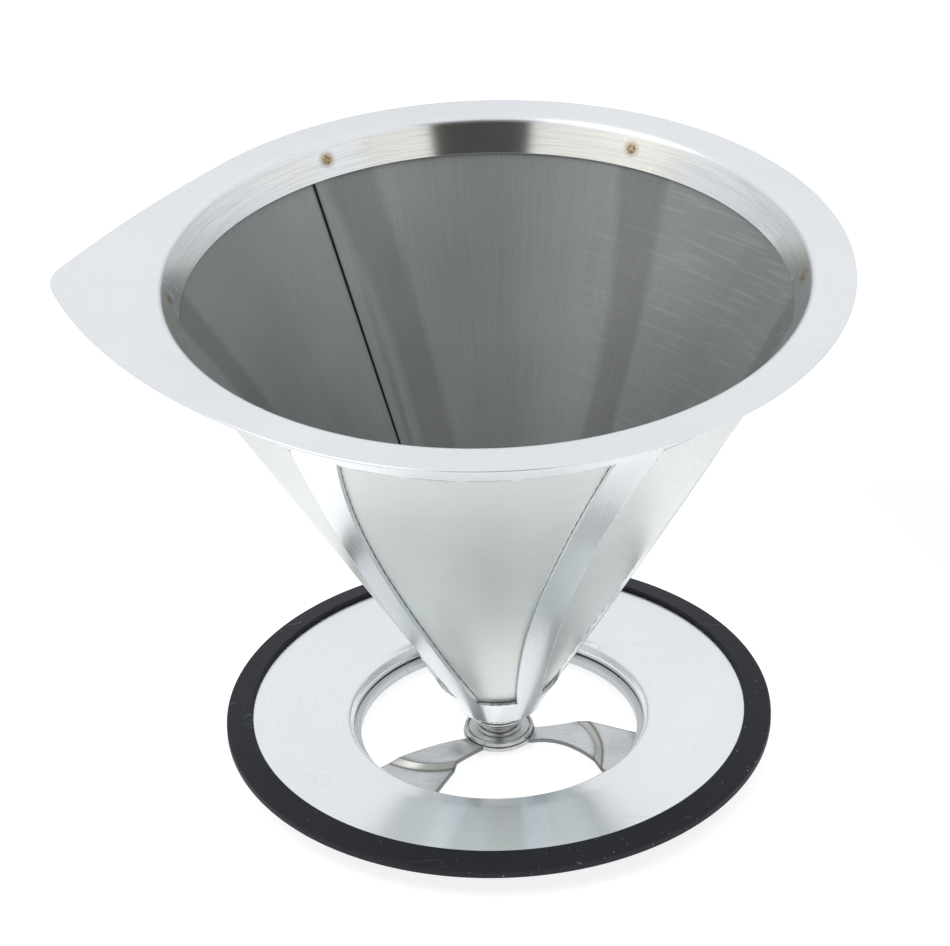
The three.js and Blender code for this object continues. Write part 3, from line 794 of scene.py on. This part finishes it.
# A weld is a flat button: rings of radius r sin t and lift cos t, flattened at both ends, square
# to the collar, from just inside it to just outside the shell.
def weldSteel():
    material, paint = newMaterial("weldSteel")
    spot = paint.add("ShaderNodeTexCoord", out=3)
    fine = paint.noise(spot, 2600.0, 2.0)
    color = paint.blend(fine.between(0.35, 0.65), (0.20, 0.12, 0.045), (0.55, 0.46, 0.30))
    finishMaterial(paint, {"Metallic": 1.0}, {
        "Base Color": color, "Roughness": fine * 0.2 + 0.3, "Normal": paint.bump(fine, 0.5, 0.03 * mm),
    })
    return material


def makeWelds(material):
    height = cone["rimTop"] - welds["depth"]
    around = np.arange(28) * full / 28
    share = np.array([0.25, 0.6, 0.85, 1.0, 1.0, 0.85, 0.6, 0.25])[:, None]
    deep = np.array([1.0, 0.8, 0.45, 0.0, 0.0, -0.45, -0.8, -1.0])[:, None] * welds["proud"]
    depth = np.array([0, 0, 0, 0, 1, 1, 1, 1])[:, None] * stackThickness - deep
    wide, tall = share * welds["radius"] * np.cos(around), share * welds["radius"] * np.sin(around)
    outX, outZ = cosCone, -sinCone
    baseX = coneRadius(height, 0)
    px = baseX + depth * outX + tall * sinCone
    pz = height + depth * outZ + tall * cosCone
    for index in range(welds["count"]):
        a = welds["azimuth"] + index * full / welds["count"]
        points = np.stack([
            px * math.cos(a) - wide * math.sin(a), px * math.sin(a) + wide * math.cos(a),
            np.broadcast_to(pz, px.shape),
        ], -1)
        piece = makeMesh(f"collarWeld{index + 1}", points.reshape(-1, 3), cappedFaces(*px.shape))
        settle(piece, f"collar_weld_{index + 1}", material)


weldFinish = weldSteel()
makeWelds(weldFinish)
print("collar welds done")


# ---- tip: cup, neck and screw

tip = {
    "floor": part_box("tip_cup")[0][2],
    "thickness": 1.1 * mm,
    "spigot": 3.6 * mm,
    "wall": 0.6 * mm,
    "hole": 2.75 * mm,
    "waist": 4.0 * mm,
    "foot": 4.1 * mm,
    "top": 4.95 * mm,
    "head": 3.5 * mm,
    "socket": 1.5 * mm,
}


def polishedSteel(name, tone=(0.80, 0.80, 0.77), roughness=0.09):
    material, paint = newMaterial(name)
    spot, x, y, z, radius, acrossX, acrossY = aroundAxis(paint)
    lathe = roundBrushing(paint, acrossX, acrossY, radius + z, 0.06 * mm)
    smear = paint.noise(spot, 420.0, 3.0)
    color = paint.blend(smear.between(0.35, 0.7) * 0.5, tone, (0.60, 0.58, 0.53))
    finishMaterial(paint, {"Metallic": 1.0}, {
        "Base Color": color, "Roughness": smear * 0.12 + lathe * 0.05 + (roughness - 0.05),
        "Normal": paint.bump(lathe, 0.12, 0.004 * mm),
    })
    return material


def makeTip():
    floor, shoulder = tip["floor"], tip["floor"] + tip["thickness"]
    top = shoulder + tip["spigot"]
    fit = innerOffset - cone["layerGap"] * 1.5
    turnedPiece("tipCup", "tip_cup", roundedSection(corners(
        (tip["hole"], floor, 0.1),
        (coneRadius(floor, outerOffset) - 0.3 * mm, floor, 0.35),
        (coneRadius(shoulder, outerOffset + cone["meshSheet"]), shoulder, 0.15),
        (coneRadius(shoulder, fit), shoulder, 0.05),
        (coneRadius(top, fit), top, 0.15),
        (coneRadius(top, fit - tip["wall"]), top, 0.2),
        (coneRadius(shoulder - 0.1 * mm, fit - tip["wall"]), shoulder - 0.1 * mm, 0.4),
        (tip["hole"], shoulder - 0.1 * mm, 0.1),
    )), brushedSteel("cupSteel", 0.28, contrast=0.8))
    low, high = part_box("neck_ferrule")[0][2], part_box("neck_ferrule")[1][2]
    turnedPiece("neck", "neck_ferrule", roundedSection(corners(
        (tip["hole"], low, 0.08),
        (tip["foot"], low, 0.12),
        (tip["foot"] - 0.1 * mm, low + 0.35 * mm, 0.12),
        (tip["waist"] + 0.03 * mm, low + 0.5 * mm, 0.3),
        (tip["waist"], high - 1.6 * mm, 1.0),
        (tip["waist"] + 0.25 * mm, high - 0.75 * mm, 1.2),
        (tip["top"], high - 0.2 * mm, 0.15),
        (tip["top"], high, 0.08),
        (tip["hole"], high, 0.08),
    ), 6), polishedSteel("neckSteel"))
    makeScrew()


# The screw's socket has six sides: its radius is the flat's distance over the cosine of the
# angle from the nearest flat's middle.
def makeScrew():
    low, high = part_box("center_screw")[0][2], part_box("center_screw")[1][2]
    headLow = high - 1.3 * mm
    steps = 144
    shank = 2.5 * mm
    thread = np.arange(22)
    crest = shank - 0.02 * mm - 0.22 * mm * (thread % 2)
    ridge = np.stack([crest, low + 0.5 * mm + thread * 0.11 * mm], -1)
    outline = roundedSection(corners(
        (1.2 * mm, low, 0.05), (shank - 0.35 * mm, low, 0.1), (shank - 0.25 * mm, low + 0.35 * mm, 0.1),
        (shank, ridge[-1, 1] + 0.4 * mm, 0.05), (shank, headLow, 0.05), (tip["head"], headLow, 0.1),
        (tip["head"], high, 0.35), (tip["socket"] + 0.25 * mm, high, 0.15),
        (tip["socket"], high - 0.2 * mm, 0.1),
        (tip["socket"], high - 0.8 * mm, 0.05), (1.0 * mm, high - 0.8 * mm, 0.05),
    ))
    block = len(outline) // 11
    section = np.concatenate([outline[:3 * block], ridge, outline[3 * block:]])
    points = turnedPoints(section, steps)
    around = np.arange(steps) * full / steps
    flat = full / 6
    toFlat = (around + flat / 2) % flat - flat / 2
    hexagon = (math.cos(flat / 2) / np.cos(toFlat))[None, :, None]
    socketRows = np.arange(len(section)) >= 22 + 8 * block
    scale = np.where(socketRows[:, None, None], hexagon, 1.0)
    points[..., :2] *= scale
    piece = makeMesh("centerScrew", points.reshape(-1, 3), cappedFaces(len(section), steps))
    settle(piece, "center_screw", polishedSteel("screwSteel"))


makeTip()
print("tip done")


# ---- hub

hub = {
    "body": 4.4 * mm,
    "flange": 6.15 * mm,
    "lip": 0.5 * mm,
    "lipHeight": 0.6 * mm,
    "floor": 0.4 * mm,
}


# The washer and the lower shell are duller than the pieces round them.
def dimmed(paint, color, rough, place):
    return paint.blend(1.0, color, (0.62, 0.63, 0.63), "MULTIPLY"), rough


def makeHub():
    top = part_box("hub_bush")[1][2]
    flangeTop = top - hub["lipHeight"]
    flangeLow = flangeTop - 0.3 * mm
    inner = hub["flange"] - hub["lip"]
    section = roundedSection(corners(
        (1.0 * mm, 0.0, 0.02), (hub["body"], 0.0, 0.3), (hub["body"], flangeLow, 0.03),
        (hub["flange"], flangeLow, 0.1), (hub["flange"], top, 0.22), (inner, top, 0.14),
        (inner, flangeTop, 0.03), (tip["hole"], flangeTop, 0.15), (tip["hole"], hub["floor"], 0.05),
        (1.0 * mm, hub["floor"], 0.02),
    ))
    block = len(section) // 10
    capped = section[block // 2:-(block // 2)]
    cappedPiece("hub", "hub_bush", capped, polishedSteel("hubSteel", (0.40, 0.41, 0.42), 0.2))
    low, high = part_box("hub_washer")[0][2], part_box("hub_washer")[1][2]
    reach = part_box("hub_washer")[1][0]
    turnedPiece("washer", "hub_washer", roundedSection(corners(
        (2.85 * mm, low, 0.05), (reach, low, 0.05), (reach, high, 0.12), (2.85 * mm, high, 0.05),
    )), brushedSteel("washerSteel", 0.36, contrast=1.0, extra=dimmed), 128)


makeHub()
print("hub done")


# ---- stand

stand = {
    "top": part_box("base_ring")[1][2],
    "outer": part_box("base_ring")[1][0],
    "hole": 25.9 * mm,
    "holeBend": 2.3 * mm,
    "upperSheet": 0.6 * mm,
    "lowerSheet": 0.5 * mm,
    "gap": 0.2 * mm,
    "lipRadius": 24.7 * mm,
    "lipWall": 0.8 * mm,
    "lipLow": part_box("lower_ring")[0][2],
    "step": 2.9 * mm,
}
prints = {
    "places": ((-38.6, -14.4), (-34.2, -20.2), (-31.2, -20.6)),
    "radius": 1.5 * mm,
    "width": 0.16 * mm,
}


# Faint round prints where the two shells are spot-welded under the surface.
def weldPrints(paint, color, rough, place):
    x, y, z, radius = place
    mark = None
    for px, py in prints["places"]:
        dx, dy = x - px * mm, y - py * mm
        away = ((dx * dx + dy * dy) ** 0.5 - prints["radius"]).maths("ABSOLUTE")
        ring = 1 - away.between(0.0, prints["width"])
        mark = ring if mark is None else mark.maths("MAXIMUM", ring)
    return paint.blend(mark * 0.35, color, (0.60, 0.61, 0.62)), rough + mark * 0.06


def makeStand():
    top, hole, bend, sheet = stand["top"], stand["hole"], stand["holeBend"], stand["upperSheet"]
    ringSteel = brushedSteel("ringSteel", 0.22, 0.10 * mm, 0.7, 0.75, weldPrints)
    turnedPiece("upperShell", "base_ring", roundedSection(corners(
        (hole, stand["step"] + stand["gap"], 0.1),
        (hole + sheet, stand["step"] + stand["gap"], 0.1),
        (hole + sheet, top - sheet, bend / mm - 0.6),
        (stand["outer"], top - sheet, 0.05),
        (stand["outer"], top, 0.1),
        (hole + 4.6 * mm, top, 14.0),
        (hole + 0.75 * mm, top - 0.45 * mm, 1.4),
        (hole, top - bend, 1.2),
    ), 12), ringSteel, 256)
    face = top - sheet - stand["gap"]
    low = stand["lowerSheet"]
    rampStart = hole + sheet + stand["gap"]
    rampEnd = rampStart + face - stand["step"]
    lip = stand["lipRadius"] + stand["lipWall"]
    turnedPiece("lowerShell", "lower_ring", roundedSection(corners(
        (stand["lipRadius"], stand["lipLow"], 0.2),
        (lip, stand["lipLow"], 0.2),
        (lip, stand["step"] - low, 0.2),
        (rampStart + 0.3 * mm, stand["step"] - low, 0.3),
        (rampEnd + 0.3 * mm, face - low, 0.5),
        (stand["outer"], face - low, 0.05),
        (stand["outer"], face, 0.05),
        (rampEnd, face, 0.5),
        (rampStart, stand["step"], 0.3),
        (stand["lipRadius"], stand["step"], 0.25),
    )), brushedSteel("lowerSteel", 0.26, 0.12 * mm, 1.2, extra=dimmed), 256)


# Dark matte silicone with dust: a speck is a cell whose nearest point is close and whose own
# random number is high.
def siliconeRubber():
    material, paint = newMaterial("siliconeRubber")
    spot, x, y, z, radius, acrossX, acrossY = aroundAxis(paint)
    cloud = paint.noise(spot, 60.0, 4.0)
    grain = paint.noise(spot, 3500.0, 2.0)
    color = paint.blend(cloud.between(0.3, 0.7), (0.0115, 0.013, 0.0185), (0.017, 0.019, 0.026))
    dust = None
    for scale, size, rare in ((620.0, 0.13, 0.72), (1500.0, 0.16, 0.80)):
        cells = paint.node("ShaderNodeTexVoronoi", inputs={"Vector": spot, "Scale": scale})
        near = 1 - Wire(paint, cells.outputs["Distance"]).between(size * 0.5, size)
        chance = paint.split(Wire(paint, cells.outputs["Color"]))[0].between(rare, rare + 0.05)
        here = near * chance
        dust = here if dust is None else dust.maths("MAXIMUM", here)
    lint = paint.strokes(spot, 0.9, (120, 1500, 600)).between(0.72, 0.76) * 0.5
    dirt = dust.maths("MAXIMUM", lint) * cloud.between(0.35, 0.6)
    color = paint.blend(dirt * 0.75, color, (0.30, 0.32, 0.35))
    finishMaterial(paint, {"Specular IOR Level": 0.22}, {
        "Base Color": color, "Roughness": cloud * 0.15 + dirt * 0.1 + 0.52,
        "Normal": paint.bump(grain + dirt * 2, 0.25, 0.01 * mm),
    })
    return material


rubber = {
    "inset": 2.35 * mm,
    "overhang": 2.5 * mm,
    "crown": 0.85 * mm,
    "shoulder": 0.3 * mm,
    "lip": 0.6 * mm,
    "gap": 0.12 * mm,
}


def makeSilicone(material):
    top, reach = stand["top"], stand["outer"]
    bottom = top - stand["upperSheet"] - stand["gap"] - stand["lowerSheet"] - rubber["gap"]
    inner, outer = reach - rubber["inset"], reach + rubber["overhang"]
    turnedPiece("siliconeEdge", "silicone_ring", roundedSection(corners(
        (inner, bottom - rubber["lip"], 0.2),
        (outer, bottom - rubber["lip"], 0.5),
        (outer, top - rubber["shoulder"], 0.5),
        (inner + 0.25 * mm, top + rubber["crown"], 0.35),
        (inner, top + rubber["gap"], 0.1),
        (reach + rubber["gap"], top + rubber["gap"], 0.1),
        (reach + rubber["gap"], bottom, 0.1),
        (inner, bottom, 0.1),
    )), material, 256)


# Straight brushing with scratches. The step's sloping face carries painted shade with a warm tint, and
# painted shade lines darken its foot, its top and the arms' cut edges.
def armSteel():
    material, paint = newMaterial("armSteel")
    spot = paint.add("ShaderNodeTexCoord", out=3)
    brush = paint.strokes(spot, 0.35, (300, 6000, 2500), 2.0)
    cloud = paint.noise(spot, 170.0, 3.0)
    nick = paint.strokes(spot, 1.1, (500, 3200, 900)).between(0.68, 0.72)
    tone = (brush * 0.5 + cloud * 0.5).between(0.3, 0.7)
    color = paint.blend(tone, (0.45, 0.47, 0.48), (0.63, 0.645, 0.655))
    color = paint.blend(nick * 0.5, color, (0.36, 0.37, 0.38))
    # painted shade on the step's sloping face, warm tinted, and painted shade lines at its foot and top
    step = paint.add("ShaderNodeAttribute", {"attribute_name": "stepPaintedShade"}, out=2)
    foot = paint.add("ShaderNodeAttribute", {"attribute_name": "stepLinePaintedShade"}, out=2)
    color = paint.blend(step * 0.7, color, (0.42, 0.41, 0.36))
    color = paint.blend(foot * 0.85, color, (0.07, 0.07, 0.075))
    # painted shade on the arms' cut edges
    edge = paint.add("ShaderNodeAttribute", {"attribute_name": "edgePaintedShade"}, out=2)
    color = paint.blend(edge * 0.8, color, (0.10, 0.10, 0.105))
    finishMaterial(paint, {"Metallic": 1.0}, {
        "Base Color": color, "Roughness": brush * 0.12 + cloud * 0.1 + 0.18,
        "Normal": paint.bump(brush - nick, 0.25, 0.008 * mm),
    })
    return material


# The waist and the step's curves are rows of three numbers: how far out from the disc and how far
# to the side, as shares of the arm's length, and the height in mm over the disc or the tab.
arms = {
    "sheet": 0.8 * mm,
    "azimuth": 103.0,
    "holeRadius": 4.6 * mm,
    "discRadius": 6.4 * mm,
    "rise": 1.1 * mm,
    "neckHalf": 2.1 * mm,
    "length": 19.1 * mm,
    "tabFlat": 1.1 * mm,
    "tabTurns": (-18.5, 14.7),
    "waist": ((0.33, -0.165, 1.3), (0.3, -0.06, 1.15), (0.26, 0.05, 0.95), (0.2, 0.14, 0.75)),
    "stepTop": ((0.67, -0.304, 0.6), (0.634, -0.12, 0.85), (0.534, 0.042, 1.15), (0.382, 0.183, 1.5)),
    "stepFoot": ((0.754, -0.361, 0.6), (0.712, -0.162, 0.95), (0.628, 0.045, 1.5), (0.466, 0.236, 2.25)),
    "columns": 28,
    "petalRows": 25,
    "stepRows": 12,
    "tabRows": 14,
    "stepWidth": 1.9,  # rough lengths along an arm, in mm, that turn a row's place into a distance
    "tabWidth": 6.0,
    "footLine": 0.32,  # widths of the painted shade lines at the step's foot and top, in mm
    "topLine": 0.25,
    "bevel": 0.12 * mm,
}


# The polynomial through evenly spaced points: each point times the product of (t - tm) / (tk - tm)
# over the others.
def throughPoints(points, share):
    spots = np.asarray(points, float)
    at = np.linspace(0, 1, len(spots))
    total = 0
    for k in range(len(spots)):
        others = np.delete(at, k)
        weight = np.prod((share[:, None] - others) / (at[k] - others), axis=1)
        total = total + weight.reshape(-1, *[1] * (spots.ndim - 1)) * spots[k]
    return total


# One arm's top along +X, as rows of points from the hub outwards, and each row's place: 0 to 1
# over the arched inner part, 1 to 2 down the step, 2 to 3 over the tab.
def armTop():
    share = np.linspace(0, 1, arms["columns"])
    discTop = arms["rise"] + arms["sheet"]

    def across(name, base):
        out, side, lift = np.array(arms[name]).T
        along, aside = arms["discRadius"] + out * arms["length"], side * arms["length"]
        return throughPoints(np.stack([along, aside, base + lift * mm], -1), share)

    def straight(x):
        side = (share * 2 - 1) * arms["neckHalf"]
        return np.stack([np.full_like(side, x), side, np.full_like(side, discTop)], -1)

    def endArc(radius):
        first, last = arms["tabTurns"]
        return polar(radius, np.radians(first + share * (last - first)), arms["sheet"])

    def ramp(first, last, cells):
        t = (np.arange(cells) + 1)[:, None, None] / cells
        return first + (last - first) * t

    end = arms["discRadius"] + arms["length"]
    waist, top = across("waist", discTop), across("stepTop", discTop)
    foot, tab = across("stepFoot", arms["sheet"]), endArc(end - arms["tabFlat"])
    petalPlace = np.linspace(0, 1, arms["petalRows"])
    petal = throughPoints([straight(arms["discRadius"]), waist, top], petalPlace)
    root = straight(arms["holeRadius"] + 0.5 * mm)[None]
    step, flat = arms["stepRows"], arms["tabRows"]
    rows = np.concatenate([root, petal, ramp(top, foot, step), ramp(foot, tab, flat), endArc(end)[None]])
    place = np.concatenate([
        [0], petalPlace, 1 + (np.arange(step) + 1) / step, 2 + (np.arange(flat) + 1) / flat, [3],
    ])
    return rows, place


# The spider is a flat ring and three arms. Each arm is a sheet: its top, the same points one
# sheet lower, and walls round the border.
def makeSpider(material):
    top, place = armTop()
    rows, columns = top.shape[:2]
    loop = np.concatenate([top, top[:, ::-1] - np.array([0, 0, arms["sheet"]])], 1)
    j = np.arange(columns - 1)
    hubEnd = np.stack([j, j + 1, 2 * columns - 2 - j, 2 * columns - 1 - j], -1)
    tabEnd = hubEnd[:, ::-1] + (rows - 1) * 2 * columns
    armFaces = np.concatenate([gridFaces(rows, 2 * columns, closeRows=False)[:, ::-1], hubEnd, tabEnd])
    steps, low = 128, arms["rise"]
    ring = turnedPoints(roundedSection(corners(
        (arms["holeRadius"], low, 0.1), (arms["discRadius"], low, 0.1),
        (arms["discRadius"], low + arms["sheet"], 0.1), (arms["holeRadius"], low + arms["sheet"], 0.1),
    )), steps)
    points, faces = [ring.reshape(-1, 3)], [gridFaces(len(ring), steps)]
    for index in range(3):
        a = math.radians(arms["azimuth"] + 120 * index)
        turned = np.array([[math.cos(a), math.sin(a), 0], [-math.sin(a), math.cos(a), 0], [0, 0, 1]])
        faces.append(armFaces + sum(len(block) for block in points))
        points.append(loop.reshape(-1, 3) @ turned)
    piece = makeMesh("spider", np.concatenate(points), faces)
    past = place - 2
    away = np.where(past < 0, past * arms["stepWidth"], past * arms["tabWidth"])
    fromTop = (place - 1) * arms["tabWidth"]
    # painted shade: the step's sloping face and the lines at its foot and top
    marks = {
        "stepPaintedShade": np.clip((place - 0.97) / 0.1, 0, 1) * np.clip((2.0 - place) / 0.1, 0, 1),
        "stepLinePaintedShade": np.exp(-(away / arms["footLine"]) ** 2) + 0.7 * np.exp(-(fromTop / arms["topLine"]) ** 2),
    }
    marks = {name: np.repeat(np.clip(values, 0, 1), 2 * columns) for name, values in marks.items()}
    # painted shade on the border columns, which are the cut edges
    border = np.zeros((rows, 2 * columns))
    border[:, [0, columns - 1, columns, -1]] = 1
    marks["edgePaintedShade"] = border.reshape(-1)
    onRing = np.zeros(ring[..., 0].size)
    for name, onArm in marks.items():
        pointAttribute(piece, name, np.concatenate([onRing, onArm, onArm, onArm]))
    softenEdges(piece, arms["bevel"], 60)
    return settle(piece, "spider", material)


def dress(node, material):
    mesh = frame["nodes"][node].data
    mesh.materials.clear()
    mesh.materials.append(material)


makeStand()
makeSilicone(siliconeRubber())
makeSpider(armSteel())
for index in (1, 2, 3):
    dress(f"arm_weld_{index}", weldFinish)
print("stand done")


# ---- floor

floor = {
    "radius": 6.0,
    "drop": 0.2 * mm,
    "color": (0.60, 0.60, 0.60),
    "cloud": (0.62, 0.62, 0.62),
    "glow": 0.70,
    "roundGlow": 0.6,  # share of the glow that is left away from the stand
    "underRadius": 56 * mm,
}


# A disc of rings about the axis, glowing as a light table does. The glow is strongest under the stand, as
# painted light that lifts the stand's shadow there, and less round it.
def makeFloor():
    material, paint = newMaterial("tableTop")
    spot, x, y, z, radius, acrossX, acrossY = aroundAxis(paint)
    cloud = paint.noise(spot, 3.0, 2.0)
    color = paint.blend(cloud.between(0.3, 0.7), floor["color"], floor["cloud"])
    under = 1 - radius.between(floor["underRadius"], floor["underRadius"] * 2)
    glow = under * (1 - floor["roundGlow"]) + floor["roundGlow"]
    finishMaterial(paint, {"Emission Strength": floor["glow"], "Roughness": 0.9}, {
        "Base Color": color, "Emission Color": paint.blend(glow, (0.0, 0.0, 0.0), (1.0, 1.0, 1.0)),
    })
    section = np.array([(0.001, -floor["drop"]), (0.3, -floor["drop"]), (floor["radius"], -floor["drop"])])
    points = turnedPoints(section, 96)
    faces = [gridFaces(3, 96, closeRows=False)[:, ::-1].copy(), np.arange(96)[None, :]]
    made = makeMesh("tableTop", points.reshape(-1, 3), faces, smooth=False)
    made.data.materials.append(material)


makeFloor()
print("floor done")
